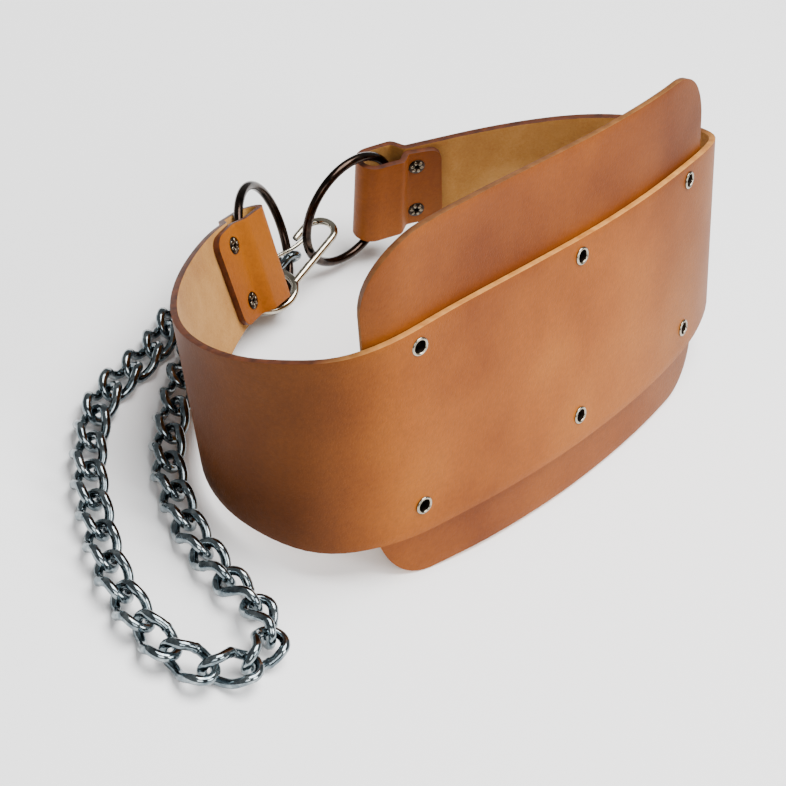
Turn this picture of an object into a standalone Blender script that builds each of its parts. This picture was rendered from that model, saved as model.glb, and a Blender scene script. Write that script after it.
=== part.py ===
"""Dip belt: a leather strap with a back pad, two rings, a snap hook and a twisted-link chain.

The belt stands on its pad and on the chain, on the plane Z = 0. Sizes are in millimetres up to
the last step, which turns them to metres. The strap's wall is 3 mm of leather and holds an open
loop: the wearer's waist goes in from above.
"""
import math

import bmesh
import bpy
import numpy as np

MM = 0.001
GAP = 0.4                 # clear space between two pieces that lie on each other
SNUG = 0.8                # clear space under a rivet's flange

# strap: one band of leather, folded back inwards at both ends
STRAP_LENGTH = 693.0      # from fold to fold, along the mid-line
LEATHER = 3.0
BAND_WIDTH = 102.0        # at the wearer's back
END_WIDTH = 45.5          # at the folds
TAPER_SHARE = 0.38        # share of the length over which each end narrows
BAND_START = (93.4, 156.8, 30.0)   # outer face of the left fold, at mid-width
STEP_LENGTH = 18.0        # longest flat of the faceted wall
STEP_TURN = 10.5          # most degrees that one flat turns

# the strap's mid-line, from the left fold round the pad to the right fold
# along mm, heading, rise along the way, lean outwards (degrees)
ROUTE = (
    (0, -166.0, 9.5, 35.0),
    (15, -166.0, 9.5, 35.0),
    (30, -164.0, 8.0, 34.0),
    (45, -158.5, 5.5, 31.5),
    (85, -148.5, 5.0, 25.0),
    (125, -134.5, 8.0, 18.0),
    (155, -108.0, 12.0, 11.0),
    (180, -84.5, 14.0, 4.5),
    (205, -64.0, 15.5, -2.5),
    (230, -31.5, 13.5, -9.0),
    (255, -10.5, 6.5, -14.0),
    (290, -5.0, 0.0, -17.0),
    (340, -2.5, -0.5, -18.5),
    (390, 0.5, 1.0, -18.0),
    (440, 6.0, 0.5, -17.0),
    (470, 12.0, -0.5, -16.5),
    (490, 24.5, -2.5, -15.5),
    (510, 67.5, -6.0, -14.5),
    (530, 98.5, -7.0, -13.5),
    (560, 115.0, -9.5, -11.5),
    (600, 133.0, -13.0, -8.5),
    (640, 142.0, -15.0, -4.0),
    (662, 148.0, -12.5, -1.0),
    (676, 157.0, -10.0, 2.0),
    (693, 160.0, -9.5, 2.5),
)

# folds: the strap's end goes through the ring and back along its inner face
FLAP_LENGTH = 46.0        # from the fold's outer face to the flap's free edge
FLAP_GAP = 0.4            # between the riveted layers
FLAP_CORNER = 6.0
TUNNEL_GAP = (9.6, 12.0)  # clear height of the tunnel round the ring wire, left and right
TUNNEL_END = 28.0         # where the two layers meet again, from the fold's outer face
TUNNEL_WIDE = 21.0        # the tunnel keeps its full height up to here
WALL_FROM = FLAP_LENGTH - FLAP_CORNER - 2.5   # the plain wall starts here, behind the rivets
TUNNEL_ROWS = (26.8, 25.6, 24.5, 23.2, 21.0, 16.0)   # cross-sections of the tunnel's closing end
FOLD_STEPS = 7

# rings: round steel wire, one in each fold
RING_RADIUS = 29.0        # to the middle of the wire
RING_WIRE = 4.5
RING_STEPS = 32
RING_SIDES = 7
RING_BEYOND = (6.31, 7.34)  # ring centre beyond the fold's outer face
RING_RISE = (1.26, 0.67)    # ring centre above the strap's mid-line
RING_INWARD = (-3.28, 7.7)  # ring centre, from the outer layer towards the wearer
RING_TURN = (-10.15, 16.6)  # degrees that the ring turns inwards about the tunnel
RING_TILT = (-0.83, 0.78)   # degrees that the ring tips about its own reach

# back pad: leather panel inside the band
PAD_FROM = 234.5          # along the strap
PAD_TO = 475.0
PAD_TOP = 93.4            # above the strap's mid-line
PAD_BOTTOM = 74.7         # below it
PAD_CORNER = 29.0
PAD_CORNER_STEPS = 5
PAD_GAP = 0.6             # between band and pad

# eyelets through band and pad, two rows of three
EYELET_ALONG = (257.5, 361.5, 453.5)
EYELET_MIDDLE = 3.0       # rows are centred this far above the mid-line
EYELET_ROW = 39.7
EYELET_BORE = 5.6
EYELET_TUBE = 6.8
EYELET_FLANGE = 9.6
EYELET_LIP = 0.9

# rivets that close each fold
RIVET_BACK = 32.5         # centres, from the fold's outer face
RIVET_HEIGHT = 14.0       # above and below the mid-line
RIVET_BORE = 2.6
RIVET_TUBE = 4.4
RIVET_FLANGE = 9.0
RIVET_LIP = 0.9
HOLE_SIDES = 12
RIVET_SIDES = 10
FLAT_ROUND_RIVET = 1.2     # the wall stays flat this far beyond a flange

# snap hook: round wire, an eye at one end and a sprung gate
HOOK_EYE_AT = (90.95, 147.5, 11.9)
HOOK_HEADING = 10.1
HOOK_SLOPE = 17.8
HOOK_ROLL = -8.6
HOOK_WIRE = 3.6           # of the eye
ARM_WIRE = 3.4
STUB_WIRE = 3.3
HOOK_SIDES = 8
EYE_RADIUS = 12.7
ARM_SIDE = 8.1            # spine and nose arm, each side of the hook's middle
ARM_START = 10.2
END_AT = 42.8             # middle of the round end
NOSE_AT = 34.5
PIVOT_AT = 14.5
PIVOT_PIN = 1.6
PIVOT_EAR = 5.4
EAR_LOW = -0.8            # the ear's two faces, from the middle of the hook's wire
EAR_HIGH = 1.9
PIN_HIGH = 4.7
GATE_WIRE = 2.1
GATE_TIP = (35.9, 3.9)
GATE_EYE = 5.0
GATE_BENDS = ((6.0, 0.75), (13.0, 0.25))   # mm from the pivot, share of its height left

# chain: welded links of round wire, each twisted a quarter turn so that the chain lies flat
LINK_WIRE = 4.2
LINK_INSIDE = 19.1        # clear length of a link
LINK_WIDTH = 8.2          # clear width of a link
LINK_GAP = 0.8            # least slack between two links' wires
LINK_END_STEPS = 5
LINK_SIDES = 5
LINK_REST = 6.7           # middle of a link above the floor
# the chain's way over the floor: x, y, height of the link's middle, roll in degrees
CHAIN_ROUTE = (
    (124.7, 159.5, 9.7, 13),
    (105, 167.5, 8.8, 8),
    (92, 171, 7.8, 4),
    (79, 171.5, LINK_REST, 0),
    (62, 169.5, LINK_REST, 0),
    (45, 166, LINK_REST, 0),
    (30, 158.5, LINK_REST, 0),
    (12.3, 152.8, LINK_REST, 0),
    (-3, 149.5, LINK_REST, 0),
    (-15.4, 147.1, LINK_REST, 0),
    (-27.4, 142.1, LINK_REST, 0),
    (-37.4, 135.2, LINK_REST, 0),
    (-49.5, 124, LINK_REST, 0),
    (-62.2, 111.4, LINK_REST, 0),
    (-74.3, 93.9, LINK_REST, 0),
    (-84.7, 79.2, LINK_REST, 0),
    (-93.7, 62.5, 7.0, 5),
    (-100, 46, 7.6, 20),
    (-104.0, 29.5, 8.5, 35),
    (-104.4, 14.5, 8.5, 45),
    (-97.5, 1, 8.5, 45),
    (-82, -5.5, 8.5, 45),
    (-67, -1, 8.5, 45),
    (-60, 13, 8.5, 35),
    (-57.5, 32, 7.6, 20),
    (-53.4, 50.3, 7.0, 5),
    (-47.5, 67.1, LINK_REST, 0),
    (-38.7, 82.7, LINK_REST, 0),
    (-27.7, 98.3, LINK_REST, 0),
    (-14.7, 110.1, 7.0, -4),
    (0.1, 121.2, 7.4, -10),
    (13, 130.5, 7.8, -18),
    (28, 139.6, 8.2, -29),
    (44.3, 146.3, 8.5, -43),
    (61.8, 150.1, 8.3, -58),
    (79.5, 151.15, 7.7, -74),
)

# the origin is the middle of the whole part's box, on the floor
ORIGIN = (79.64, 79.81, -0.1)

COLOURS = {
    "grain_leather": (0.43, 0.17, 0.045, 1.0),
    "dark_steel": (0.035, 0.028, 0.026, 1.0),
    "nickel": (0.72, 0.69, 0.62, 1.0),
    "zinc": (0.60, 0.63, 0.65, 1.0),
}


def unit(v):
    v = np.asarray(v, float)
    return v / np.linalg.norm(v)


def ease(x):
    x = np.clip(x, 0.0, 1.0)
    return x * x * (3.0 - 2.0 * x)


def between(x, xs, ys):
    """A smooth curve through the rows of a table."""
    xs = np.array(xs, float)
    ys = np.array(ys, float)
    rise = np.gradient(ys, xs)
    i = np.clip(np.searchsorted(xs, x, side="right") - 1, 0, len(xs) - 2)
    span = xs[i + 1] - xs[i]
    t = (x - xs[i]) / span
    start = (1 + 2 * t) * (1 - t) ** 2 * ys[i] + t * (1 - t) ** 2 * span * rise[i]
    return start + t * t * (3 - 2 * t) * ys[i + 1] + t * t * (t - 1) * span * rise[i + 1]


# the strap's mid-line as a walk in steps of one millimetre
ALONG = np.arange(0.0, STRAP_LENGTH + 1.0)
TABLE = np.array(ROUTE, float)
HEADING = np.radians(between(ALONG, TABLE[:, 0], TABLE[:, 1]))
RISE = np.radians(between(ALONG, TABLE[:, 0], TABLE[:, 2]))
LEAN = np.radians(between(ALONG, TABLE[:, 0], TABLE[:, 3]))
WAY = np.stack([np.cos(RISE) * np.cos(HEADING), np.cos(RISE) * np.sin(HEADING), np.sin(RISE)], 1)
LINE = np.vstack([[BAND_START], BAND_START + np.cumsum((WAY[1:] + WAY[:-1]) / 2, axis=0)])


def frame_at(along):
    """Point on the mid-line, then the directions along, up the wall and out of the loop."""
    here = np.array([np.interp(along, ALONG, LINE[:, k]) for k in range(3)])
    way = unit([np.interp(along, ALONG, WAY[:, k]) for k in range(3)])
    plumb = unit(np.array([0.0, 0.0, 1.0]) - way * way[2])
    side = np.cross(way, plumb)
    lean = np.interp(along, ALONG, LEAN)
    up = math.cos(lean) * plumb + math.sin(lean) * side
    return here, way, up, np.cross(way, up)


def flat_at(along, half):
    """The same in the middle of a flat of the faceted wall that reaches half each way."""
    before = frame_at(along - half)
    after = frame_at(along + half)
    here = (before[0] + after[0]) / 2
    up = unit(before[2] + after[2])
    way = unit(after[0] - before[0])
    return here, way, up, unit(np.cross(way, up))


def on_wall(along, height, inward):
    """A point of the wall: inward is measured from the middle of the leather."""
    here, way, up, out = frame_at(along)
    return here + up * height - out * inward


def half_width(along):
    near = min(along, STRAP_LENGTH - along)
    return 0.5 * (END_WIDTH + (BAND_WIDTH - END_WIDTH) * ease(near / (TAPER_SHARE * STRAP_LENGTH)))


def corner_cut(distance, radius):
    """How much a rounded corner takes off, at a distance from the edge."""
    if distance >= radius:
        return 0.0
    return radius - math.sqrt(radius ** 2 - (radius - distance) ** 2)


def wall_stations(extra):
    """Places along the strap, closer where it bends, with the pad's own places among them."""
    turn = np.concatenate([[0.0], np.cumsum(np.abs(np.diff(np.degrees(HEADING))))])
    measure = ALONG / STEP_LENGTH + turn / STEP_TURN
    first = WALL_FROM
    last = STRAP_LENGTH - first
    low = np.interp(first, ALONG, measure)
    high = np.interp(last, ALONG, measure)
    count = int(round(high - low))
    places = list(np.interp(np.linspace(low, high, count + 1), measure, ALONG))
    places = [p for p in places if min(abs(p - e) for e in extra) > 3.0]
    return sorted(places + list(extra))


def pad_edges():
    """Places along the strap where the pad's ends and rounded corners have their edges."""
    turn = [math.pi / 2 * k / PAD_CORNER_STEPS for k in range(PAD_CORNER_STEPS + 1)]
    back = [PAD_CORNER * (1 - math.cos(a)) for a in turn]
    return [PAD_FROM + b for b in back], [PAD_TO - b for b in reversed(back)]


def new_object(name, bm, colour, smooth=None, origin=ORIGIN):
    """The mesh in metres round its own origin, with its material."""
    bmesh.ops.remove_doubles(bm, verts=bm.verts, dist=0.002)
    bmesh.ops.recalc_face_normals(bm, faces=bm.faces)
    for v in bm.verts:
        v.co = [(v.co[k] - origin[k]) * MM for k in range(3)]
    mesh = bpy.data.meshes.new(name)
    bm.to_mesh(mesh)
    bm.free()
    obj = bpy.data.objects.new(name, mesh)
    bpy.context.scene.collection.objects.link(obj)
    obj.location = [(origin[k] - ORIGIN[k]) * MM for k in range(3)]
    material = bpy.data.materials.new(name + "_finish")
    material.use_nodes = True
    shader = material.node_tree.nodes["Principled BSDF"]
    shader.inputs["Base Color"].default_value = COLOURS[colour]
    shader.inputs["Metallic"].default_value = 0.0 if colour == "grain_leather" else 1.0
    shader.inputs["Roughness"].default_value = 0.55 if colour == "grain_leather" else 0.3
    mesh.materials.append(material)
    if smooth is not None:
        mesh.shade_smooth()
        mesh.set_sharp_from_angle(angle=math.radians(smooth))
    return obj


def sheet(rings):
    """A closed wall from cross-sections that all have the same number of corners."""
    bm = bmesh.new()
    rows = [[bm.verts.new(tuple(p)) for p in ring] for ring in rings]
    count = len(rows[0])
    for a, b in zip(rows, rows[1:]):
        for k in range(count):
            n = (k + 1) % count
            bm.faces.new((a[k], a[n], b[n]))
            bm.faces.new((a[k], b[n], b[k]))
    for ring in (rows[0], rows[-1]):
        half = count // 2
        for k in range(half - 1):
            bm.faces.new((ring[k], ring[k + 1], ring[count - 2 - k], ring[count - 1 - k]))
    return bm


def tube(bm, points, radius, sides, closed, normal):
    """Round wire along a run of points; normal is square to the run or nearly so."""
    pts = [np.asarray(p, float) for p in points]
    rows = []
    for i, p in enumerate(pts):
        a = pts[i - 1] if closed or i > 0 else pts[0]
        b = pts[(i + 1) % len(pts)] if closed or i < len(pts) - 1 else pts[-1]
        way = unit(b - a)
        n = normal[i] if np.ndim(normal) == 2 else normal
        n = unit(n - way * np.dot(n, way))
        side = np.cross(way, n)
        ring = []
        for k in range(sides):
            t = 2 * math.pi * (k + 0.5) / sides
            ring.append(bm.verts.new(tuple(p + radius * (math.cos(t) * n + math.sin(t) * side))))
        rows.append(ring)
    pairs = list(zip(rows, rows[1:]))
    if closed:
        pairs.append((rows[-1], rows[0]))
    for a, b in pairs:
        for k in range(sides):
            n = (k + 1) % sides
            bm.faces.new((a[k], a[n], b[n], b[k]))
    if not closed:
        bm.faces.new(rows[0])
        bm.faces.new(list(reversed(rows[-1])))


def turned(at, axis, profile, sides):
    """A closed turned shape: profile is a loop of (radius, height) round the axis."""
    axis = unit(axis)
    side = unit(np.cross(axis, (0.3, 0.2, 0.9)))
    other = np.cross(axis, side)
    bm = bmesh.new()
    rows = []
    for k in range(sides):
        t = 2 * math.pi * k / sides
        out = math.cos(t) * side + math.sin(t) * other
        rows.append([bm.verts.new(tuple(at + out * r + axis * h)) for r, h in profile])
    count = len(profile)
    for k in range(sides):
        a = rows[k]
        b = rows[(k + 1) % sides]
        for m in range(count):
            n = (m + 1) % count
            bm.faces.new((a[m], a[n], b[n], b[m]))
    return bm


def drum(at, axis, radius, low, high, sides):
    """A plain solid cylinder, used for ears and pins and to cut holes."""
    axis = unit(axis)
    side = unit(np.cross(axis, (0.3, 0.2, 0.9)))
    other = np.cross(axis, side)
    bm = bmesh.new()
    rows = []
    for h in (low, high):
        ring = []
        for k in range(sides):
            t = 2 * math.pi * k / sides
            ring.append(bm.verts.new(tuple(at + radius * (math.cos(t) * side + math.sin(t) * other)
                                           + axis * h)))
        rows.append(ring)
    bm.faces.new(rows[0])
    bm.faces.new(list(reversed(rows[1])))
    for k in range(sides):
        n = (k + 1) % sides
        bm.faces.new((rows[0][k], rows[0][n], rows[1][n], rows[1][k]))
    return bm


def combine(target, other, operation):
    """Cut a helper from a piece, or join it on, and hide the helper."""
    other.display_type = "WIRE"
    other.hide_render = True
    step = target.modifiers.new(other.name, "BOOLEAN")
    step.operation = operation
    step.solver = "EXACT"
    step.object = other


for old in list(bpy.data.objects):
    bpy.data.objects.remove(old, do_unlink=True)

# band: flap, fold, wall, fold, flap, in one closed sweep
corners_from, corners_to = pad_edges()
flat = EYELET_FLANGE / 2 + FLAT_ROUND_RIVET
flats = [s + d for s in EYELET_ALONG for d in (-flat, flat)]
edges = [e for e in corners_from + corners_to if min(abs(e - f) for f in flats) > 2.0]
STATIONS = [s for s in wall_stations(edges + flats)
            if min(abs(s - e) for e in EYELET_ALONG) >= flat - 0.01]


def tunnel_share(along):
    """How open the tunnel is, from 1 round the ring to 0 at the rivets."""
    return float(ease((TUNNEL_END - along) / (TUNNEL_END - TUNNEL_WIDE)))


def fold_profile(gap):
    """The left end in (along, inward, width lost) from the flap's free edge to the wall."""
    apart = LEATHER + FLAP_GAP
    middle = apart / 2
    bend = (gap + LEATHER) / 2
    centre = LEATHER / 2 + bend
    rows = []
    for d in (0.0, 0.8, 2.4, FLAP_CORNER):
        rows.append((FLAP_LENGTH - d, apart, 2 * corner_cut(d, FLAP_CORNER)))
    for a in (WALL_FROM, TUNNEL_END):
        rows.append((a, apart, 0.0))
    for a in TUNNEL_ROWS:
        rows.append((a, apart + (middle + bend - apart) * tunnel_share(a), 0.0))
    for k in range(FOLD_STEPS + 1):
        t = math.pi / 2 - math.pi * k / FOLD_STEPS
        rows.append((centre - bend * math.cos(t), middle + bend * math.sin(t), 0.0))
    for a in TUNNEL_ROWS[::-1] + (TUNNEL_END,):
        rows.append((a, (middle - bend) * tunnel_share(a), 0.0))
    return rows


left = [(a, b, c) for a, b, c in fold_profile(TUNNEL_GAP[0])]
right = [(STRAP_LENGTH - a, b, c) for a, b, c in reversed(fold_profile(TUNNEL_GAP[1]))]
wall = [(s, 0.0, 0.0) for s in STATIONS]
profile = left + wall + right
rings = []
for i, (along, inward, lost) in enumerate(profile):
    before = profile[max(i - 1, 0)]
    after = profile[min(i + 1, len(profile) - 1)]
    run = unit((after[0] - before[0], after[1] - before[1]))
    here, way, up, out = frame_at(along)
    grain = way * run[1] + out * run[0]
    middle = here - out * inward
    is_flap = inward > 0.1 and min(along, STRAP_LENGTH - along) < FLAP_LENGTH + 1
    half = END_WIDTH / 2 if is_flap else half_width(along)
    half -= lost / 2
    thick = LEATHER / 2
    rings.append([
        middle - up * half + grain * thick,
        middle + grain * thick,
        middle + up * half + grain * thick,
        middle + up * half - grain * thick,
        middle - grain * thick,
        middle - up * half - grain * thick,
    ])
band = new_object("belt_band", sheet(rings), "grain_leather", smooth=35)

# pad: the same wall, one leather thickness further in, taller and round at its corners
INSET = LEATHER + PAD_GAP
rings = []
for along in [s for s in STATIONS if PAD_FROM - 0.01 <= s <= PAD_TO + 0.01]:
    cut = corner_cut(max(min(along - PAD_FROM, PAD_TO - along), 0.0), PAD_CORNER)
    low = -PAD_BOTTOM + cut
    high = PAD_TOP - cut
    seam = half_width(along)
    heights = [low, max(-seam, low * 0.75), 0.0, min(seam, high * 0.75), high]
    outer = [on_wall(along, h, INSET - LEATHER / 2) for h in heights]
    inner = [on_wall(along, h, INSET + LEATHER / 2) for h in reversed(heights)]
    rings.append(outer + inner)
pad = new_object("back_pad", sheet(rings), "grain_leather", smooth=35)

# eyelets through band and pad
stack = 2 * LEATHER + PAD_GAP
number = 0
for row in (EYELET_ROW, -EYELET_ROW):
    for along in EYELET_ALONG:
        number += 1
        here, way, up, out = flat_at(along, flat)
        at = here + up * (EYELET_MIDDLE + row)
        top = LEATHER / 2 + SNUG
        base = LEATHER / 2 - stack - SNUG
        bore = EYELET_BORE / 2
        stem = EYELET_TUBE / 2
        rim = EYELET_FLANGE / 2
        shape = [(bore, base - EYELET_LIP), (rim - 0.6, base - EYELET_LIP), (rim, base),
                 (stem, base), (stem, top), (rim, top), (rim - 0.6, top + EYELET_LIP),
                 (bore, top + EYELET_LIP)]
        new_object("pad_eyelet_%d" % number, turned(at, out, shape, RIVET_SIDES), "nickel", smooth=35)
        cutter = drum(at, out, stem + GAP + 0.1, base - 4.0, top + 4.0, HOLE_SIDES)
        tool = new_object("hole_eyelet_%d" % number, cutter, "nickel")
        combine(band, tool, "DIFFERENCE")
        combine(pad, tool, "DIFFERENCE")

# rivets through the two layers of each fold
number = 0
for along in (RIVET_BACK, STRAP_LENGTH - RIVET_BACK):
    for height in (RIVET_HEIGHT, -RIVET_HEIGHT):
        number += 1
        here, way, up, out = frame_at(along)
        at = here + up * height
        top = LEATHER / 2 + SNUG
        base = -1.5 * LEATHER - FLAP_GAP - SNUG
        bore = RIVET_BORE / 2
        stem = RIVET_TUBE / 2
        rim = RIVET_FLANGE / 2
        shape = [(bore, base - RIVET_LIP), (rim - 0.5, base - RIVET_LIP), (rim, base),
                 (stem, base), (stem, top), (rim, top), (rim - 0.5, top + RIVET_LIP),
                 (bore, top + RIVET_LIP)]
        new_object("end_rivet_%d" % number, turned(at, out, shape, RIVET_SIDES), "nickel", smooth=35)
        cutter = drum(at, out, stem + GAP + 0.1, base - 4.0, top + 4.0, HOLE_SIDES)
        tool = new_object("hole_rivet_%d" % number, cutter, "nickel")
        combine(band, tool, "DIFFERENCE")

# rings: each is placed from its own fold
for side, name in enumerate(("ring_left", "ring_right")):
    here, way, up, out = frame_at(0.0 if side == 0 else STRAP_LENGTH)
    beyond = -way if side == 0 else way
    inward = -out
    centre = here + beyond * RING_BEYOND[side] + up * RING_RISE[side] + inward * RING_INWARD[side]
    turn = math.radians(RING_TURN[side])
    reach = math.cos(turn) * beyond + math.sin(turn) * inward
    tilt = math.radians(RING_TILT[side])
    tall = math.cos(tilt) * up + math.sin(tilt) * np.cross(reach, up)
    points = []
    for k in range(RING_STEPS):
        t = 2 * math.pi * k / RING_STEPS
        points.append(centre + RING_RADIUS * (math.cos(t) * reach + math.sin(t) * tall))
    bm = bmesh.new()
    tube(bm, points, RING_WIRE / 2, RING_SIDES, True, np.cross(reach, tall))
    new_object(name, bm, "dark_steel", smooth=60)

# snap hook: eye, spine, round end and nose in one wire, with an ear and pin for the gate
hd = math.radians(HOOK_HEADING)
sl = math.radians(HOOK_SLOPE)
ro = math.radians(HOOK_ROLL)
HOOK_U = np.array([math.cos(sl) * math.cos(hd), math.cos(sl) * math.sin(hd), math.sin(sl)])
level = unit(np.cross(HOOK_U, np.cross((-math.tan(sl), 0.0, 1.0), HOOK_U)))
HOOK_V = math.cos(ro) * np.cross(level, HOOK_U) + math.sin(ro) * level
HOOK_N = np.cross(HOOK_U, HOOK_V)


def on_hook(u, v, w=0.0):
    """A point of the hook: u along the spine, v towards the gate, w square to its plane."""
    return np.array(HOOK_EYE_AT) + HOOK_U * u + HOOK_V * v + HOOK_N * w


eye = []
for k in range(24):
    t = 2 * math.pi * (k + 0.5) / 24
    eye.append(on_hook(EYE_RADIUS * math.cos(t), EYE_RADIUS * math.sin(t)))
bm = bmesh.new()
tube(bm, eye, HOOK_WIRE / 2, HOOK_SIDES, True, HOOK_N)
hook = new_object("snap_hook", bm, "nickel", smooth=60)
run = [(ARM_START, -ARM_SIDE), (END_AT / 2, -ARM_SIDE)]
for k in range(11):
    t = -math.pi / 2 + math.pi * k / 10
    run.append((END_AT + ARM_SIDE * math.cos(t), ARM_SIDE * math.sin(t)))
run += [(NOSE_AT, ARM_SIDE)]
bm = bmesh.new()
tube(bm, [on_hook(u, v) for u, v in run], ARM_WIRE / 2, HOOK_SIDES, False, HOOK_N)
combine(hook, new_object("hook_arm", bm, "nickel"), "UNION")
bm = bmesh.new()
stub = [on_hook(ARM_START, ARM_SIDE), on_hook(PIVOT_AT + 0.6, ARM_SIDE)]
tube(bm, stub, STUB_WIRE / 2, 7, False, HOOK_N)
combine(hook, new_object("hook_stub", bm, "nickel"), "UNION")
ear = drum(on_hook(PIVOT_AT, ARM_SIDE), HOOK_N, PIVOT_EAR / 2, EAR_LOW, EAR_HIGH, 11)
combine(hook, new_object("hook_ear", ear, "nickel"), "UNION")
pin = drum(on_hook(PIVOT_AT, ARM_SIDE), HOOK_N, PIVOT_PIN / 2, 0.5, PIN_HIGH, 8)
combine(hook, new_object("hook_pin", pin, "nickel"), "UNION")

# gate: a thin wire with a small eye round the pin; it turns about the pin
GATE_RISE = EAR_HIGH + GAP + GATE_WIRE / 2
pivot = on_hook(PIVOT_AT, ARM_SIDE, GATE_RISE)
bm = turned(pivot, HOOK_N,
            [(PIVOT_PIN / 2 + GAP, -GATE_WIRE / 2), (GATE_EYE / 2, -GATE_WIRE / 2),
             (GATE_EYE / 2, GATE_WIRE / 2), (PIVOT_PIN / 2 + GAP, GATE_WIRE / 2)], 12)
gate = new_object("snap_gate", bm, "nickel", smooth=40, origin=pivot)
gate_way = unit((GATE_TIP[0] - PIVOT_AT, GATE_TIP[1] - ARM_SIDE))
points = [on_hook(PIVOT_AT + gate_way[0] * 1.9, ARM_SIDE + gate_way[1] * 1.9, GATE_RISE)]
for far, share in GATE_BENDS:
    points.append(on_hook(PIVOT_AT + gate_way[0] * far, ARM_SIDE + gate_way[1] * far,
                          GATE_RISE * share))
points.append(on_hook(GATE_TIP[0], GATE_TIP[1]))
bm = bmesh.new()
tube(bm, points, GATE_WIRE / 2 - 0.05, 6, False, HOOK_N)
combine(gate, new_object("gate_wire", bm, "nickel"), "UNION")

# chain: the route is walked link by link
route = np.array(CHAIN_ROUTE, float)
gone = np.concatenate([[0.0], np.cumsum(np.linalg.norm(np.diff(route[:, :3], axis=0), axis=1))])
fine = np.linspace(0.0, gone[-1], 6000)
curve = np.stack([between(fine, gone, route[:, k]) for k in range(4)], 1)


def walk(pitch):
    """The points where each link's first end goes through the link before it."""
    found = [curve[0]]
    for row in curve:
        if np.linalg.norm(row[:3] - found[-1][:3]) >= pitch:
            found.append(row)
    return found


# the slack is shared out so that the last link meets the hook
pitch = LINK_INSIDE - LINK_GAP
count = len(walk(pitch))
while len(walk(pitch)) == count:
    pitch -= 0.005
joints = walk(pitch)
centre_half = (LINK_INSIDE + LINK_WIRE) / 2
bow = (LINK_WIDTH + LINK_WIRE) / 2
straight = centre_half - bow
loop = []
for k in range(LINK_END_STEPS + 1):
    t = -math.pi / 2 + math.pi * k / LINK_END_STEPS
    loop.append((straight + bow * math.cos(t), bow * math.sin(t)))
loop.append((0.0, bow))
for k in range(LINK_END_STEPS + 1):
    t = math.pi / 2 + math.pi * k / LINK_END_STEPS
    loop.append((-straight + bow * math.cos(t), bow * math.sin(t)))
loop.append((0.0, -bow))
for i in range(len(joints) - 1):
    a = joints[i]
    b = joints[i + 1]
    way = unit(b[:3] - a[:3])
    flat = unit(np.cross((0.0, 0.0, 1.0), way))
    top = np.cross(way, flat)
    roll = math.radians((a[3] + b[3]) / 2)
    middle = a[:3] + way * centre_half
    points = []
    normals = []
    for x, y in loop:
        twist = roll - math.pi / 4 * min(max(x / straight, -1.0), 1.0)
        across = math.cos(twist) * flat + math.sin(twist) * top
        points.append(middle + way * x + across * y)
        normals.append(-math.sin(twist) * flat + math.cos(twist) * top)
    bm = bmesh.new()
    tube(bm, points, LINK_WIRE / 2, LINK_SIDES, True, np.array(normals))
    new_object("chain_link_%02d" % (i + 1), bm, "zinc", smooth=60)
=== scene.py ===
"""Looks of the dip belt: leather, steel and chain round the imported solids, in metres."""
import math
import random

import bmesh
import bpy
import numpy as np
from mathutils import Matrix, Vector


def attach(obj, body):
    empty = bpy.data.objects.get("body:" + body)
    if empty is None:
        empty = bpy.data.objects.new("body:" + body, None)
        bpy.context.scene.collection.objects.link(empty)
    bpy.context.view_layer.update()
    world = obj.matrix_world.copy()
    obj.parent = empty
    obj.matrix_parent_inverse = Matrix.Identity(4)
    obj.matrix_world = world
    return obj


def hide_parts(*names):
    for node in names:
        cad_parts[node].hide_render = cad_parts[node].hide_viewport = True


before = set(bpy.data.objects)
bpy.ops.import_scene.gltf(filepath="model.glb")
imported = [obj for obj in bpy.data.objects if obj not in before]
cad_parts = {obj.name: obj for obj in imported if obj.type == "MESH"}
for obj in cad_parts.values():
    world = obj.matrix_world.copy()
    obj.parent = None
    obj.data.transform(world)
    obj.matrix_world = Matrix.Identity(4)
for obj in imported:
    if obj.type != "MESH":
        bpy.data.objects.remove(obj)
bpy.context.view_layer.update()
MM = 0.001

# --- strap -------------------------------------------------------------------
# One piece of vegetable-tanned harness leather, 3 mm thick, grain side out. It is bent into an
# open loop, and each end is folded back inwards round a ring and riveted to itself.
STRAP_LENGTH = 693.0
LEATHER = 3.0
BAND_WIDTH = 102.0
END_WIDTH = 45.5
TAPER_SHARE = 0.38
BAND_START = (13.76, 76.99, 30.1)
# along mm, heading, rise, lean outwards (degrees)
ROUTE = (
    (0, -166.0, 9.5, 35.0),
    (15, -166.0, 9.5, 35.0),
    (30, -164.0, 8.0, 34.0),
    (45, -158.5, 5.5, 31.5),
    (85, -148.5, 5.0, 25.0),
    (125, -134.5, 8.0, 18.0),
    (155, -108.0, 12.0, 11.0),
    (180, -84.5, 14.0, 4.5),
    (205, -64.0, 15.5, -2.5),
    (230, -31.5, 13.5, -9.0),
    (255, -10.5, 6.5, -14.0),
    (290, -5.0, 0.0, -17.0),
    (340, -2.5, -0.5, -18.5),
    (390, 0.5, 1.0, -18.0),
    (440, 6.0, 0.5, -17.0),
    (470, 12.0, -0.5, -16.5),
    (490, 24.5, -2.5, -15.5),
    (510, 67.5, -6.0, -14.5),
    (530, 98.5, -7.0, -13.5),
    (560, 115.0, -9.5, -11.5),
    (600, 133.0, -13.0, -8.5),
    (640, 142.0, -15.0, -4.0),
    (662, 148.0, -12.5, -1.0),
    (676, 157.0, -10.0, 2.0),
    (693, 160.0, -9.5, 2.5),
)
FLAP_LENGTH = 46.0
FLAP_GAP = 0.4
FLAP_CORNER = 6.0
TUNNEL_GAP = (9.6, 12.0)
TUNNEL_END = 28.0
TUNNEL_WIDE = 21.0


def unit(v):
    v = np.asarray(v, float)
    return v / np.linalg.norm(v)


def ease(x):
    x = np.clip(x, 0.0, 1.0)
    return x * x * (3.0 - 2.0 * x)


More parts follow.
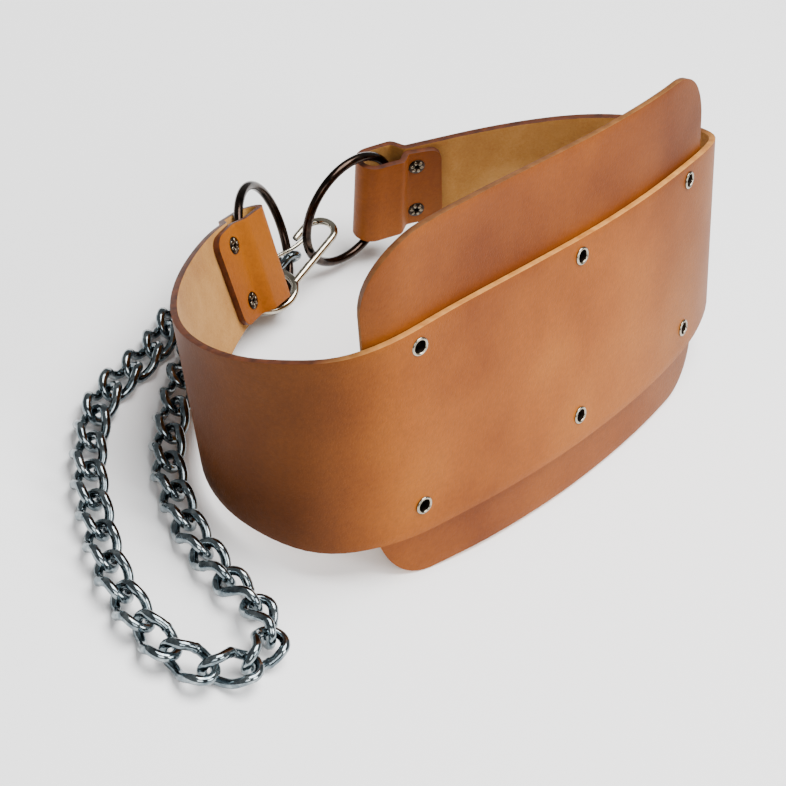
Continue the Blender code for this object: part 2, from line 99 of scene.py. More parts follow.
def between(x, xs, ys):
    """A smooth curve through the rows of a table."""
    rise = np.gradient(ys, xs)
    i = np.clip(np.searchsorted(xs, x, side="right") - 1, 0, len(xs) - 2)
    span = xs[i + 1] - xs[i]
    t = (x - xs[i]) / span
    start = (1 + 2 * t) * (1 - t) ** 2 * ys[i] + t * (1 - t) ** 2 * span * rise[i]
    return start + t * t * (3 - 2 * t) * ys[i + 1] + t * t * (t - 1) * span * rise[i + 1]


TABLE = np.array(ROUTE, float)
ALONG = np.arange(0.0, STRAP_LENGTH + 1.0)
HEADING = np.radians(between(ALONG, TABLE[:, 0], TABLE[:, 1]))
RISE = np.radians(between(ALONG, TABLE[:, 0], TABLE[:, 2]))
LEAN = np.radians(between(ALONG, TABLE[:, 0], TABLE[:, 3]))
WAY = np.stack([np.cos(RISE) * np.cos(HEADING), np.cos(RISE) * np.sin(HEADING), np.sin(RISE)], 1)
LINE = np.vstack([[BAND_START], BAND_START + np.cumsum((WAY[1:] + WAY[:-1]) / 2, axis=0)])


def frame_at(along):
    """Point on the mid-line, then the directions along, up the wall and out of the loop."""
    here = np.array([np.interp(along, ALONG, LINE[:, k]) for k in range(3)])
    way = unit([np.interp(along, ALONG, WAY[:, k]) for k in range(3)])
    plumb = unit(np.array([0.0, 0.0, 1.0]) - way * way[2])
    lean = np.interp(along, ALONG, LEAN)
    up = math.cos(lean) * plumb + math.sin(lean) * np.cross(way, plumb)
    return here, way, up, np.cross(way, up)


def half_width(along):
    near = min(along, STRAP_LENGTH - along)
    return 0.5 * (END_WIDTH + (BAND_WIDTH - END_WIDTH) * ease(near / (TAPER_SHARE * STRAP_LENGTH)))


def corner_cut(distance, radius):
    """How much a rounded corner takes off, at a distance from the edge."""
    if distance >= radius:
        return 0.0
    return radius - math.sqrt(radius ** 2 - (radius - distance) ** 2)


def fold_path(gap):
    """The left end in (along, inward, width lost) from the flap's free edge to the wall."""
    apart = LEATHER + FLAP_GAP
    middle = apart / 2
    bend = (gap + LEATHER) / 2

    def share(a):
        return float(ease((TUNNEL_END - a) / (TUNNEL_END - TUNNEL_WIDE)))

    rows = []
    for k in range(8):
        d = FLAP_CORNER * (1 - math.cos(math.pi / 14 * k))
        rows.append((FLAP_LENGTH - d, apart, corner_cut(d, FLAP_CORNER)))
    for a in np.linspace(FLAP_LENGTH - FLAP_CORNER - 2, TUNNEL_END, 6):
        rows.append((a, apart, 0.0))
    for a in np.linspace(TUNNEL_END - 0.8, 10.0, 16):
        rows.append((a, apart + (middle + bend - apart) * share(a), 0.0))
    for k in range(17):
        t = math.pi / 2 - math.pi * k / 16
        centre = LEATHER / 2 + bend
        rows.append((centre - bend * math.cos(t), middle + bend * math.sin(t), 0.0))
    for a in np.linspace(10.0, TUNNEL_END - 0.8, 16):
        rows.append((a, (middle - bend) * share(a), 0.0))
    for a in np.linspace(TUNNEL_END, 44.0, 7):
        rows.append((a, 0.0, 0.0))
    return rows


left = fold_path(TUNNEL_GAP[0])
right = [(STRAP_LENGTH - a, b, c) for a, b, c in reversed(fold_path(TUNNEL_GAP[1]))]
wall = [(s, 0.0, 0.0) for s in np.linspace(49.0, STRAP_LENGTH - 49.0, 120)]
path = left + wall + right


def sheet_of(name, columns, rows, place):
    """A flat grid whose points are then put in place: place(column, share up) gives mm."""
    bm = bmesh.new()
    bmesh.ops.create_grid(bm, x_segments=columns - 1, y_segments=rows - 1, size=1.0)
    for v in bm.verts:
        column = int(round((v.co.x + 1) / 2 * (columns - 1)))
        v.co = Vector(place(column, (v.co.y + 1) / 2)) * MM
    mesh = bpy.data.meshes.new(name)
    bm.to_mesh(mesh)
    bm.free()
    obj = bpy.data.objects.new(name, mesh)
    bpy.context.scene.collection.objects.link(obj)
    return obj


band_rows = []
for i, (along, inward, lost) in enumerate(path):
    before = path[max(i - 1, 0)]
    after = path[min(i + 1, len(path) - 1)]
    run = unit((after[0] - before[0], after[1] - before[1]))
    here, way, up, out = frame_at(along)
    is_flap = inward > 0.1 and min(along, STRAP_LENGTH - along) < FLAP_LENGTH + 1
    half = (END_WIDTH / 2 if is_flap else half_width(along)) - lost
    band_rows.append((here - out * inward, up, half))


def band_place(column, share):
    middle, up, half = band_rows[column]
    return middle + up * half * (2 * share - 1)


def settle(obj):
    """Makes the modifiers' result the piece's own mesh."""
    result = bpy.data.meshes.new_from_object(obj.evaluated_get(bpy.context.evaluated_depsgraph_get()))
    obj.modifiers.clear()
    obj.data = result


def thicken(obj, thickness):
    """A wall of even thickness with its own finishes on the flesh side and on the cut edge."""
    step = obj.modifiers.new("wall", "SOLIDIFY")
    step.thickness = thickness * MM
    step.offset = 0.0
    step.use_even_offset = True
    step.material_offset = 1
    step.material_offset_rim = 2


def punch(obj, places, radius):
    """Round holes through the leather; places holds a middle and an axis for each."""
    bm = bmesh.new()
    for at, axis in places:
        turn = Vector(axis).to_track_quat("Z", "Y").to_matrix().to_4x4()
        bmesh.ops.create_cone(bm, cap_ends=True, segments=24, radius1=radius * MM, radius2=radius * MM,
                              depth=30 * MM, matrix=Matrix.Translation(Vector(at) * MM) @ turn)
    mesh = bpy.data.meshes.new("punch")
    bm.to_mesh(mesh)
    bm.free()
    tool = bpy.data.objects.new("punch", mesh)
    bpy.context.scene.collection.objects.link(tool)
    step = obj.modifiers.new("holes", "BOOLEAN")
    step.operation = "DIFFERENCE"
    step.solver = "EXACT"
    step.object = tool
    bpy.context.view_layer.update()
    settle(obj)
    bpy.data.objects.remove(tool)


def round_edges(obj, width, segments):
    """The cut edge is skived and rubbed round."""
    step = obj.modifiers.new("rubbed_edge", "BEVEL")
    step.width = width * MM
    step.segments = segments
    step.limit_method = "ANGLE"
    step.angle_limit = math.radians(50)
    obj.data.shade_smooth()


def linear(code):
    """An sRGB hex colour in linear values."""
    parts = [int(code[k:k + 2], 16) / 255 for k in (1, 3, 5)]
    return [p / 12.92 if p <= 0.04045 else ((p + 0.055) / 1.055) ** 2.4 for p in parts] + [1.0]


def add(tree, kind, settings=None, **inputs):
    """A node with its settings; an input is a value or another node's output."""
    node = tree.nodes.new(kind)
    for key, value in (settings or {}).items():
        setattr(node, key, value)
    for key, value in inputs.items():
        name = key.replace("_", " ")
        socket = node.inputs[int(key[1:])] if key[0] == "n" and key[1:].isdigit() else node.inputs[name]
        if isinstance(value, bpy.types.NodeSocket):
            tree.links.new(value, socket)
        else:
            socket.default_value = value
    return node


def finish(name, **sockets):
    """A new material and its shader, with the values that are the same all over."""
    material = bpy.data.materials.new(name)
    material.use_nodes = True
    tree = material.node_tree
    shader = tree.nodes["Principled BSDF"]
    for key, value in sockets.items():
        shader.inputs[key.replace("_", " ")].default_value = value
    return material, tree, shader


def ramp(tree, value, stops):
    """Colours between stops of (position, hex)."""
    node = add(tree, "ShaderNodeValToRGB", n0=value)
    band = node.color_ramp
    while len(band.elements) < len(stops):
        band.elements.new(0.5)
    for element, (position, code) in zip(band.elements, stops):
        element.position = position
        element.color = linear(code)
    return node.outputs["Color"]


def object_points(tree):
    return add(tree, "ShaderNodeTexCoord").outputs["Object"]


def bump(tree, shader, height, strength, distance):
    node = add(tree, "ShaderNodeBump", Height=height, Strength=strength, Distance=distance)
    tree.links.new(node.outputs["Normal"], shader.inputs["Normal"])


# pattern scales are worked out from real sizes: a cell or wave of s mm is a scale of 1 / (s * MM)
def per_mm(size):
    return 1.0 / (size * MM)


def grain_leather(name, tones):
    """Drum-dyed grain side, waxed: orange tan, cloudy, fine pores, with painted shade darkening it round the
    left bend and at the right end.
    """
    material, tree, shader = finish(name, Metallic=0.0, IOR=1.5)
    shader.inputs["Specular IOR Level"].default_value = 0.14
    points = object_points(tree)
    cloud = add(tree, "ShaderNodeTexNoise", Vector=points, Scale=per_mm(95), Detail=3.0, Roughness=0.55)
    colour = ramp(tree, cloud.outputs["Fac"], tuple(zip((0.3, 0.5, 0.72), tones)))
    part = add(tree, "ShaderNodeSeparateXYZ", Vector=points)
    # painted shade: the tan is darkened by position, to 0.42 beyond the left bend and to 0.68 at the right end,
    # where the strap stands in shade
    painted_shade_left = add(tree, "ShaderNodeMapRange", {"interpolation_type": "SMOOTHSTEP"},
                     n0=part.outputs["X"], n1=-0.118, n2=-0.07, n3=0.42, n4=1.0)
    painted_shade_right = add(tree, "ShaderNodeMapRange", {"interpolation_type": "SMOOTHSTEP"},
                    n0=part.outputs["X"], n1=0.07, n2=0.15, n3=1.0, n4=0.68)
    # bend joins both painted shades into one factor on the leather's value
    bend = add(tree, "ShaderNodeMath", {"operation": "MULTIPLY"}, n0=painted_shade_left.outputs[0],
               n1=painted_shade_right.outputs[0])
    fleck = add(tree, "ShaderNodeTexNoise", Vector=points, Scale=per_mm(2.2), Detail=4.0, Roughness=0.7)
    pale = add(tree, "ShaderNodeMapRange", n0=fleck.outputs["Fac"], n1=0.35, n2=0.7, n3=0.88, n4=1.08)
    value = add(tree, "ShaderNodeMath", {"operation": "MULTIPLY"}, n0=pale.outputs[0], n1=bend.outputs[0])
    tint = add(tree, "ShaderNodeHueSaturation", Value=value.outputs[0], Color=colour)
    tree.links.new(tint.outputs["Color"], shader.inputs["Base Color"])
    rough = add(tree, "ShaderNodeMapRange", n0=cloud.outputs["Fac"], n1=0.3, n2=0.7, n3=0.56, n4=0.46)
    tree.links.new(rough.outputs[0], shader.inputs["Roughness"])
    pores = add(tree, "ShaderNodeTexVoronoi", Vector=points, Scale=per_mm(1.1))
    pits = add(tree, "ShaderNodeMapRange", n0=pores.outputs["Distance"], n1=0.05, n2=0.5, n3=0.0, n4=1.0)
    both = add(tree, "ShaderNodeMath", {"operation": "MULTIPLY_ADD"}, n0=fleck.outputs["Fac"], n1=0.8,
               n2=pits.outputs[0])
    bump(tree, shader, both.outputs[0], 0.18, 0.0004)
    return material


def flesh_leather():
    """Buffed flesh side: a pale beige nap with short matted fibres and no gloss."""
    material, tree, shader = finish("buffed_flesh_side", Metallic=0.0, Roughness=0.95)
    shader.inputs["Specular IOR Level"].default_value = 0.15
    shader.inputs["Sheen Weight"].default_value = 0.1
    points = object_points(tree)
    cloud = add(tree, "ShaderNodeTexNoise", Vector=points, Scale=per_mm(40), Detail=4.0, Roughness=0.6)
    fibre = add(tree, "ShaderNodeTexNoise", Vector=points, Scale=per_mm(1.4), Detail=5.0, Roughness=0.8)
    mix = add(tree, "ShaderNodeMath", {"operation": "MULTIPLY_ADD"}, n0=fibre.outputs["Fac"], n1=0.45,
              n2=cloud.outputs["Fac"])
    colour = ramp(tree, mix.outputs[0], ((0.5, "#93602A"), (0.72, "#A87738"), (0.94, "#BC8C4C")))
    tree.links.new(colour, shader.inputs["Base Color"])
    bump(tree, shader, fibre.outputs["Fac"], 0.5, 0.0006)
    return material


def cut_edge():
    """Cut edge: waxed and rubbed dark round the ends; pale along the back panel, a painted highlight where the
    edge catches the light.
    """
    material, tree, shader = finish("burnished_edge_painted_highlight", Metallic=0.0, Roughness=0.5)
    shader.inputs["Specular IOR Level"].default_value = 0.3
    points = object_points(tree)
    streak = add(tree, "ShaderNodeTexNoise", Vector=points, Scale=per_mm(5), Detail=4.0, Roughness=0.6)
    part = add(tree, "ShaderNodeSeparateXYZ", Vector=points)
    # painted highlight: the pale ramp along the back panel stands for the edge catching the light; the dark ramp
    # elsewhere is the rubbed edge
    back = add(tree, "ShaderNodeMapRange", {"interpolation_type": "SMOOTHSTEP"}, n0=part.outputs["Y"],
               n1=-0.068, n2=-0.042, n3=0.0, n4=1.0)
    pale = ramp(tree, streak.outputs["Fac"], ((0.3, "#A4682A"), (0.7, "#C88E48")))
    dark = ramp(tree, streak.outputs["Fac"], ((0.3, "#2E1409"), (0.7, "#5A2C12")))
    mix = add(tree, "ShaderNodeMix", {"data_type": "RGBA"}, Factor=back.outputs[0], n6=pale, n7=dark)
    tree.links.new(mix.outputs[2], shader.inputs["Base Color"])
    bump(tree, shader, streak.outputs["Fac"], 0.15, 0.0003)
    return material


LEATHERS = (grain_leather("waxed_grain_leather", ("#6E3505", "#85460A", "#975612")), flesh_leather(), cut_edge())
RIVET_BACK = 32.5
RIVET_HEIGHT = 14.0
EYELET_ALONG = (257.5, 361.5, 453.5)
EYELET_MIDDLE = 3.0
EYELET_ROW = 39.7
EYELET_FLAT = 6.0
EYELET_HOLE = 3.6
RIVET_HOLE = 2.45
rivet_places = []
for along in (RIVET_BACK, STRAP_LENGTH - RIVET_BACK):
    for height in (RIVET_HEIGHT, -RIVET_HEIGHT):
        here, way, up, out = frame_at(along)
        rivet_places.append((here + up * height, out))
eyelet_places = []
for row in (EYELET_ROW, -EYELET_ROW):
    for along in EYELET_ALONG:
        a = frame_at(along - EYELET_FLAT)
        b = frame_at(along + EYELET_FLAT)
        up = unit(a[2] + b[2])
        out = unit(np.cross(unit(b[0] - a[0]), up))
        eyelet_places.append(((a[0] + b[0]) / 2 + up * (EYELET_MIDDLE + row), out))

band = sheet_of("strap_leather", len(path), 25, band_place)
for material in LEATHERS:
    band.data.materials.append(material)
thicken(band, LEATHER)
punch(band, eyelet_places, EYELET_HOLE)
punch(band, rivet_places, RIVET_HOLE)
round_edges(band, 0.75, 3)
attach(band, "belt")
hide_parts("belt_band")

# --- back pad ----------------------------------------------------------------
# A second panel of the same leather inside the strap, taller than it, with wide round corners. It
# is held to the strap by six tubular rivets and spreads the load over the wearer's back.
PAD_FROM = 234.5
PAD_TO = 475.0
PAD_TOP = 93.4
PAD_BOTTOM = 74.7
PAD_CORNER = 29.0
PAD_GAP = 0.6
corner = [PAD_CORNER * (1 - math.cos(math.pi / 2 * k / 12)) for k in range(13)]
pad_along = [PAD_FROM + c for c in corner]
pad_along += list(np.linspace(PAD_FROM + PAD_CORNER, PAD_TO - PAD_CORNER, 46))[1:-1]
pad_along += [PAD_TO - c for c in reversed(corner)]
pad_rows = []
for along in pad_along:
    here, way, up, out = frame_at(along)
    cut = corner_cut(max(min(along - PAD_FROM, PAD_TO - along), 0.0), PAD_CORNER)
    middle = here - out * (LEATHER + PAD_GAP)
    pad_rows.append((middle - up * (PAD_BOTTOM - cut), middle + up * (PAD_TOP - cut)))


def pad_place(column, share):
    low, high = pad_rows[column]
    return low + (high - low) * share


pad = sheet_of("pad_leather", len(pad_along), 37, pad_place)
pad_grain = grain_leather("waxed_grain_pad", ("#5E2A04", "#743A07", "#86480C"))
for material in (pad_grain,) + LEATHERS[1:]:
    pad.data.materials.append(material)
thicken(pad, LEATHER)
punch(pad, eyelet_places, EYELET_HOLE)
round_edges(pad, 0.75, 3)
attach(pad, "belt")
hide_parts("back_pad")

# --- tubular rivets ----------------------------------------------------------
# Nickel-plated brass tubes with rolled rims. Six open ones hold the pad; four small ones close
# the folds, their tubes split into six petals that lie on the flap's grain side.


def nickel_plate(name, codes, rough):
    """Plated metal: warm pale reflections, dulled a little by handling."""
    material, tree, shader = finish(name, Metallic=1.0)
    points = object_points(tree)
    wear = add(tree, "ShaderNodeTexNoise", Vector=points, Scale=per_mm(6), Detail=4.0, Roughness=0.6)
    colour = ramp(tree, wear.outputs["Fac"], ((0.3, codes[0]), (0.7, codes[1])))
    tree.links.new(colour, shader.inputs["Base Color"])
    dull = add(tree, "ShaderNodeMapRange", n0=wear.outputs["Fac"], n1=0.3, n2=0.7, n3=rough[0], n4=rough[1])
    tree.links.new(dull.outputs[0], shader.inputs["Roughness"])
    bump(tree, shader, wear.outputs["Fac"], 0.08, 0.0003)
    return material


def turned(name, profile, at, axis, steps, bore=0.0):
    """A profile of (radius, height) spun round an axis; all in mm. The bore takes the next finish."""
    bm = bmesh.new()
    points = [bm.verts.new((r * MM, 0.0, h * MM)) for r, h in profile]
    edges = [bm.edges.new((a, b)) for a, b in zip(points, points[1:] + points[:1])]
    bmesh.ops.spin(bm, geom=points + edges, cent=(0, 0, 0), axis=(0, 0, 1), angle=2 * math.pi,
                   steps=steps, use_merge=True)
    bmesh.ops.remove_doubles(bm, verts=bm.verts, dist=1e-6)
    bmesh.ops.recalc_face_normals(bm, faces=bm.faces)
    for face in bm.faces:
        if face.calc_center_median().xy.length < bore * MM:
            face.material_index = 1
    turn = Vector(axis).to_track_quat("Z", "Y").to_matrix().to_4x4()
    bm.transform(Matrix.Translation(Vector(at) * MM) @ turn)
    mesh = bpy.data.meshes.new(name)
    bm.to_mesh(mesh)
    bm.free()
    mesh.shade_smooth()
    obj = bpy.data.objects.new(name, mesh)
    bpy.context.scene.collection.objects.link(obj)
    return obj


EYELET_FINISH = nickel_plate("nickel_plated_tube", ("#7A7364", "#B0A998"), (0.16, 0.26))
# painted shadow: the bore is near black to stand for the shade inside the tube's hole
BORE_PAINTED_SHADOW = nickel_plate("bore_painted_shadow", ("#14100C", "#2C251E"), (0.5, 0.6))
OUT_FACE = LEATHER / 2 + 0.12
PAD_FACE = -(LEATHER * 1.5 + PAD_GAP) - 0.12
BORE = 2.9
rolled = [(BORE, PAD_FACE - 0.35), (BORE + 0.3, PAD_FACE - 0.7), (3.7, PAD_FACE - 0.75), (4.15, PAD_FACE - 0.4),
          (4.2, PAD_FACE), (3.35, PAD_FACE), (3.35, OUT_FACE), (4.2, OUT_FACE), (4.15, OUT_FACE + 0.4),
          (3.7, OUT_FACE + 0.75), (BORE + 0.3, OUT_FACE + 0.7), (BORE, OUT_FACE + 0.35)]
for number, (at, out) in enumerate(eyelet_places, 1):
    tube = turned("pad_tube_%d" % number, rolled, at, out, 40, bore=BORE + 0.02)
    tube.data.materials.append(EYELET_FINISH)
    tube.data.materials.append(BORE_PAINTED_SHADOW)
    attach(tube, "belt")
    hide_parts("pad_eyelet_%d" % number)

# painted shadow: the rivet heads are near black to stand for the shade round and under the petals
RIVET_PAINTED_SHADOW = nickel_plate("rivet_painted_shadow", ("#1C1613", "#3E352D"), (0.3, 0.45))
PETAL_FINISH = nickel_plate("rubbed_petals", ("#5E5648", "#9A907E"), (0.22, 0.32))
FLAP_FACE = -(LEATHER * 1.5 + FLAP_GAP) - 0.1
PETALS = 6
for number, (at, out) in enumerate(rivet_places, 1):
    head = [(1.2, FLAP_FACE - 0.1), (1.4, FLAP_FACE - 0.5), (2.2, FLAP_FACE - 0.5), (4.0, FLAP_FACE - 0.35),
            (4.2, FLAP_FACE), (2.2, FLAP_FACE), (2.2, OUT_FACE), (4.3, OUT_FACE), (4.2, OUT_FACE + 0.5),
            (3.3, OUT_FACE + 0.85), (1.7, OUT_FACE + 0.8), (1.2, OUT_FACE + 0.4)]
    tube = turned("end_tube_%d" % number, head, at, out, 36)
    bm = bmesh.new()
    bm.from_mesh(tube.data)
    turn = Vector(out).to_track_quat("Z", "Y").to_matrix().to_4x4()
    place = Matrix.Translation(Vector(at) * MM) @ turn
    for k in range(PETALS):
        shape = (Matrix.Rotation(2 * math.pi / PETALS * k, 4, "Z")
                 @ Matrix.Translation((2.5 * MM, 0, (FLAP_FACE - 0.5) * MM))
                 @ Matrix.Rotation(math.radians(-8), 4, "Y") @ Matrix.Diagonal((1.2, 0.8, 0.42, 1.0)))
        petal = bmesh.ops.create_uvsphere(bm, u_segments=12, v_segments=8, radius=MM)["verts"]
        bmesh.ops.transform(bm, matrix=place @ shape, verts=petal)
        for face in {face for v in petal for face in v.link_faces}:
            face.material_index = 1
            face.smooth = True
    bm.to_mesh(tube.data)
    bm.free()
    tube.data.materials.append(RIVET_PAINTED_SHADOW)
    tube.data.materials.append(PETAL_FINISH)
    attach(tube, "belt")
    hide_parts("end_rivet_%d" % number)

# --- rings -------------------------------------------------------------------
# Two welded rings of 4.5 mm round steel with a black-brown oxide finish, one in each fold.
RING_RADIUS = 29.0
RING_WIRE = 4.5


def solid_axes(node):
    """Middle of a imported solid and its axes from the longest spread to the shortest, in mm."""
    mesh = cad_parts[node].data
    points = np.unique(np.array([tuple(v.co) for v in mesh.vertices]).round(7), axis=0) / MM
    middle = points.mean(0)
    spread, axes = np.linalg.eigh(np.cov((points - middle).T))
    return middle, axes[:, 2], axes[:, 1], axes[:, 0]


def dark_oxide():
    """Blackened steel: nearly black brown with broad soft highlights."""
    material, tree, shader = finish("blackened_steel", Metallic=1.0)
    points = object_points(tree)
    cloud = add(tree, "ShaderNodeTexNoise", Vector=points, Scale=per_mm(5), Detail=4.0, Roughness=0.6)
    colour = ramp(tree, cloud.outputs["Fac"], ((0.3, "#1E1714"), (0.7, "#40342D")))
    tree.links.new(colour, shader.inputs["Base Color"])
    dull = add(tree, "ShaderNodeMapRange", n0=cloud.outputs["Fac"], n1=0.3, n2=0.7, n3=0.13, n4=0.22)
    tree.links.new(dull.outputs[0], shader.inputs["Roughness"])
    bump(tree, shader, cloud.outputs["Fac"], 0.1, 0.0003)
    return material


RING_FINISH = dark_oxide()
for node in ("ring_left", "ring_right"):
    middle, across, other, axis = solid_axes(node)
    section = [(RING_RADIUS + RING_WIRE / 2 * math.cos(2 * math.pi * k / 20),
                RING_WIRE / 2 * math.sin(2 * math.pi * k / 20)) for k in range(20)]
    ring = turned(node + "_steel", section, middle, axis, 96)
    ring.data.materials.append(RING_FINISH)
    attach(ring, "belt")
    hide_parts(node)

# --- snap hook ---------------------------------------------------------------
# Bent from 3.6 mm nickel-plated wire: an eye, a straight spine, a round end and a nose. A thin
# sprung wire turns on a small riveted ear and closes on the nose.
EYE_AT = np.array((11.31, 67.69, 12.0))
HOOK_HEADING = math.radians(10.1)
HOOK_SLOPE = math.radians(17.8)
HOOK_ROLL = math.radians(-8.6)
HOOK_WIRE = 3.8
ARM_WIRE = 3.7
EYE_RADIUS = 12.7
ARM_SIDE = 8.1
ARM_START = 9.9
END_AT = 42.8
NOSE_AT = 34.5
PIVOT_AT = 14.5
GATE_RISE = 3.35
GATE_TIP = (35.9, 3.9)
HOOK_U = np.array((math.cos(HOOK_SLOPE) * math.cos(HOOK_HEADING),
                   math.cos(HOOK_SLOPE) * math.sin(HOOK_HEADING), math.sin(HOOK_SLOPE)))
level = unit(np.cross(HOOK_U, np.cross((-math.tan(HOOK_SLOPE), 0.0, 1.0), HOOK_U)))
HOOK_V = math.cos(HOOK_ROLL) * np.cross(level, HOOK_U) + math.sin(HOOK_ROLL) * level
HOOK_N = np.cross(HOOK_U, HOOK_V)


def on_hook(u, v, w=0.0):
    return EYE_AT + HOOK_U * u + HOOK_V * v + HOOK_N * w


def wire(name, points, radius, closed, swell=None, sides=5):
    """Round wire along points, in mm, as a mesh; swell thickens it at some of its points."""
    curve = bpy.data.curves.new(name, "CURVE")
    curve.dimensions = "3D"
    curve.bevel_depth = radius * MM
    curve.bevel_resolution = sides
    curve.use_fill_caps = True
    spline = curve.splines.new("POLY")
    spline.points.add(len(points) - 1)
    for k, p in enumerate(points):
        spline.points[k].co = (p[0] * MM, p[1] * MM, p[2] * MM, 1.0)
        spline.points[k].radius = 1.0 if swell is None else swell[k]
    spline.use_cyclic_u = closed
    holder = bpy.data.objects.new(name + "_path", curve)
    bpy.context.scene.collection.objects.link(holder)
    bpy.context.view_layer.update()
    mesh = bpy.data.meshes.new_from_object(
        holder.evaluated_get(bpy.context.evaluated_depsgraph_get()))
    bpy.data.objects.remove(holder)
    mesh.name = name
    mesh.shade_smooth()
    obj = bpy.data.objects.new(name, mesh)
    bpy.context.scene.collection.objects.link(obj)
    return obj


def joined(name, parts):
    """Several meshes as one piece."""
    bm = bmesh.new()
    for part in parts:
        bm.from_mesh(part.data)
        bpy.data.objects.remove(part)
    bmesh.ops.recalc_face_normals(bm, faces=bm.faces)
    mesh = bpy.data.meshes.new(name)
    bm.to_mesh(mesh)
    bm.free()
    mesh.set_sharp_from_angle(angle=math.radians(50))
    obj = bpy.data.objects.new(name, mesh)
    bpy.context.scene.collection.objects.link(obj)
    return obj


HOOK_FINISH = nickel_plate("bright_nickel_wire", ("#8E8778", "#BEB7A6"), (0.1, 0.17))
eye = [on_hook(EYE_RADIUS * math.cos(math.pi * k / 36), EYE_RADIUS * math.sin(math.pi * k / 36))
       for k in range(72)]
arm = [on_hook(u, -ARM_SIDE) for u in np.linspace(ARM_START, END_AT - 1, 12)]
for k in range(25):
    t = -math.pi / 2 + math.pi * k / 24
    arm.append(on_hook(END_AT + ARM_SIDE * math.cos(t), ARM_SIDE * math.sin(t)))
arm += [on_hook(u, ARM_SIDE) for u in np.linspace(END_AT - 1, NOSE_AT, 5)]
blunt = [1.0] * (len(arm) - 1) + [0.86]
stub = [on_hook(ARM_START, ARM_SIDE), on_hook(PIVOT_AT + 1.2, ARM_SIDE)]
ear = turned("hook_ear", [(0.05, -1.0), (2.3, -1.0), (2.7, -0.6), (2.7, 1.6), (2.3, 1.9), (0.05, 1.9)],
             on_hook(PIVOT_AT, ARM_SIDE), HOOK_N, 28)
pin = turned("hook_pin", [(0.02, 0.5), (0.8, 0.5), (0.8, 4.6), (1.1, 4.65), (1.0, 5.1), (0.5, 5.3), (0.02, 5.3)],
             on_hook(PIVOT_AT, ARM_SIDE), HOOK_N, 20)
hook = joined("hook_wire", [wire("hook_eye", eye, HOOK_WIRE / 2, True),
                            wire("hook_spine", arm, ARM_WIRE / 2, False, blunt),
                            wire("hook_stub", stub, ARM_WIRE / 2, False), ear, pin])
hook.data.materials.append(HOOK_FINISH)
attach(hook, "belt")
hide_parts("snap_hook")

gate_way = unit((GATE_TIP[0] - PIVOT_AT, GATE_TIP[1] - ARM_SIDE))
gate_run = []
for far, height in ((2.1, 1.0), (4.0, 0.95), (6.0, 0.82), (8.5, 0.6), (11.0, 0.36), (13.5, 0.18), (16.5, 0.05),
                    (math.dist(GATE_TIP, (PIVOT_AT, ARM_SIDE)), 0.0)):
    gate_run.append(on_hook(PIVOT_AT + gate_way[0] * far, ARM_SIDE + gate_way[1] * far, GATE_RISE * height))
loop = [on_hook(PIVOT_AT + 1.85 * math.cos(math.pi * k / 12), ARM_SIDE + 1.85 * math.sin(math.pi * k / 12),
                GATE_RISE) for k in range(24)]
gate = joined("gate_wire", [wire("gate_arm", gate_run, 1.0, False), wire("gate_eye", loop, 0.62, True)])
gate.data.materials.append(HOOK_FINISH)
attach(gate, "gate")
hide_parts("snap_gate")

# --- chain -------------------------------------------------------------------
# Electric-welded links of 4.2 mm zinc-plated steel wire. Each is twisted a quarter turn, so the
# chain lies flat, and one straight side shows the small bead of its weld.
LINK_WIRE = 4.2
LINK_INSIDE = 19.1
LINK_WIDTH = 8.2


def zinc_plate():
    """Bright zinc: cool silver with a faint blue cast, clouded where the links rub."""
    material, tree, shader = finish("bright_zinc_plate", Metallic=1.0)
    points = object_points(tree)
    cloud = add(tree, "ShaderNodeTexNoise", Vector=points, Scale=per_mm(4), Detail=5.0, Roughness=0.65)
    colour = ramp(tree, cloud.outputs["Fac"], ((0.3, "#465157"), (0.5, "#717C81"), (0.72, "#A8B0B2")))
    tree.links.new(colour, shader.inputs["Base Color"])
    dull = add(tree, "ShaderNodeMapRange", n0=cloud.outputs["Fac"], n1=0.3, n2=0.7, n3=0.08, n4=0.14)
    tree.links.new(dull.outputs[0], shader.inputs["Roughness"])
    bump(tree, shader, cloud.outputs["Fac"], 0.15, 0.0003)
    return material


CHAIN_FINISH = zinc_plate()
bow = (LINK_WIDTH + LINK_WIRE) / 2
straight = (LINK_INSIDE + LINK_WIRE) / 2 - bow
outline = []
for end in (1, -1):
    for k in range(13):
        t = -math.pi / 2 + math.pi * k / 12
        outline.append((end * (straight + bow * math.cos(t)), end * bow * math.sin(t)))
    for x in (0.85, 0.6, 0.35, 0.15, 0.06, -0.06, -0.15, -0.35, -0.6, -0.85):
        outline.append((end * x * straight, end * bow))
weld = [1.13 if y > 0 and abs(x) < 0.1 * straight else 1.0 for x, y in outline]
number = 1
while "chain_link_%02d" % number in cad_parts:
    node = "chain_link_%02d" % number
    middle, way, across, top = solid_axes(node)
    top = np.cross(way, across)
    points = []
    for x, y in outline:
        twist = -math.pi / 4 * math.sin(math.pi / 2 * min(max(x / (straight + 2.0), -1.0), 1.0))
        points.append(middle + way * x + (math.cos(twist) * across + math.sin(twist) * top) * y)
    link = wire("twist_link_%02d" % number, points, LINK_WIRE / 2, True, weld, sides=4)
    link.data.materials.append(CHAIN_FINISH)
    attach(link, "belt")
    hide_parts(node)
    number += 1

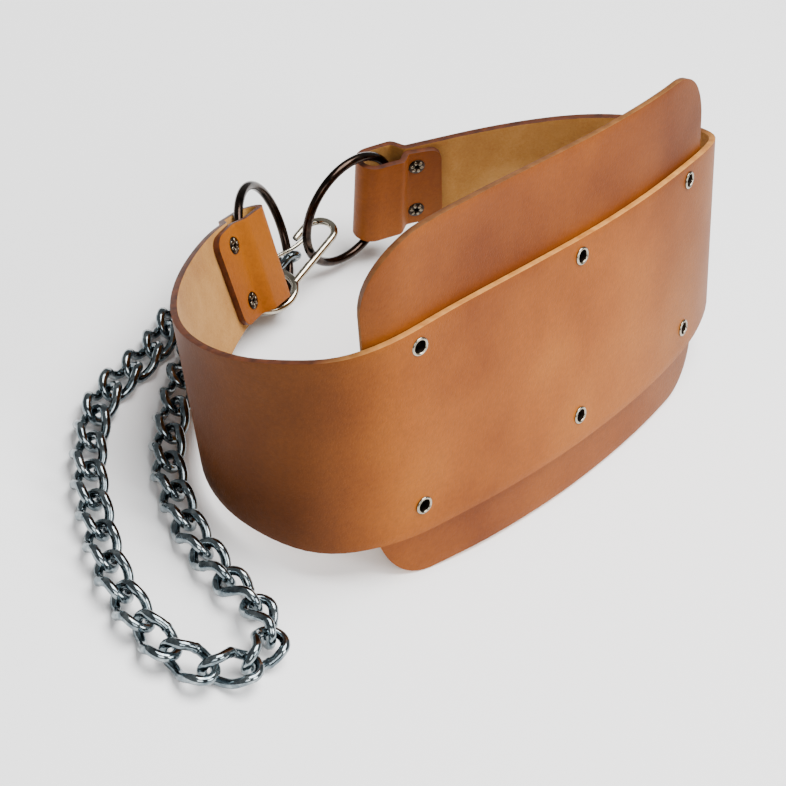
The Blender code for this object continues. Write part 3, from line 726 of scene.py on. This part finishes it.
# --- floor, light and camera -------------------------------------------------
# A white table, one large soft light above, two weaker ones from the front, and the
# photograph's own viewing angle.
bm = bmesh.new()
bmesh.ops.create_grid(bm, x_segments=1, y_segments=1, size=4.0)
mesh = bpy.data.meshes.new("table")
bm.to_mesh(mesh)
bm.free()
table = bpy.data.objects.new("table", mesh)
bpy.context.scene.collection.objects.link(table)
white, tree, shader = finish("white_table", Base_Color=linear("#FAFAFA"), Roughness=0.7)
shader.inputs["Specular IOR Level"].default_value = 0.1
table.data.materials.append(white)

world = bpy.data.worlds.new("studio")
world.use_nodes = True
world.node_tree.nodes["Background"].inputs["Color"].default_value = (1.0, 1.0, 1.0, 1.0)
world.node_tree.nodes["Background"].inputs["Strength"].default_value = 0.3
bpy.context.scene.world = world


def soft_light(name, at, size, power):
    lamp = bpy.data.lights.new(name, "AREA")
    lamp.shape = "SQUARE"
    lamp.size = size
    lamp.energy = power
    obj = bpy.data.objects.new(name, lamp)
    obj.location = at
    obj.rotation_euler = (Vector((0, 0, 0.05)) - Vector(at)).to_track_quat("-Z", "Y").to_euler()
    bpy.context.scene.collection.objects.link(obj)


soft_light("above", (0.35, -0.25, 1.8), 1.3, 82.0)
soft_light("front_right", (0.3, -1.6, 0.9), 0.8, 24.0)
soft_light("front_left", (-1.0, -1.0, 1.0), 0.8, 12.0)

EYE_POINT = (-0.609455, -0.367614, 0.613284)
AZIMUTH = 1.0527755
DOWN = 0.704665
ROLL = 0.276857
FOCAL_SHARE = 1999.8107 / 786.0
ahead = Vector((math.sin(AZIMUTH) * math.cos(DOWN), math.cos(AZIMUTH) * math.cos(DOWN), -math.sin(DOWN)))
side = ahead.cross(Vector((0, 0, 1))).normalized()
over = side.cross(ahead)
side, over = (side * math.cos(ROLL) + over * math.sin(ROLL)), (over * math.cos(ROLL) - side * math.sin(ROLL))
lens = bpy.data.cameras.new("photo_view")
lens.sensor_width = 36.0
lens.lens = 36.0 * FOCAL_SHARE
camera = bpy.data.objects.new("photo_view", lens)
camera.matrix_world = Matrix.Translation(EYE_POINT) @ Matrix((side, over, -ahead)).transposed().to_4x4()
bpy.context.scene.collection.objects.link(camera)
bpy.context.scene.camera = camera
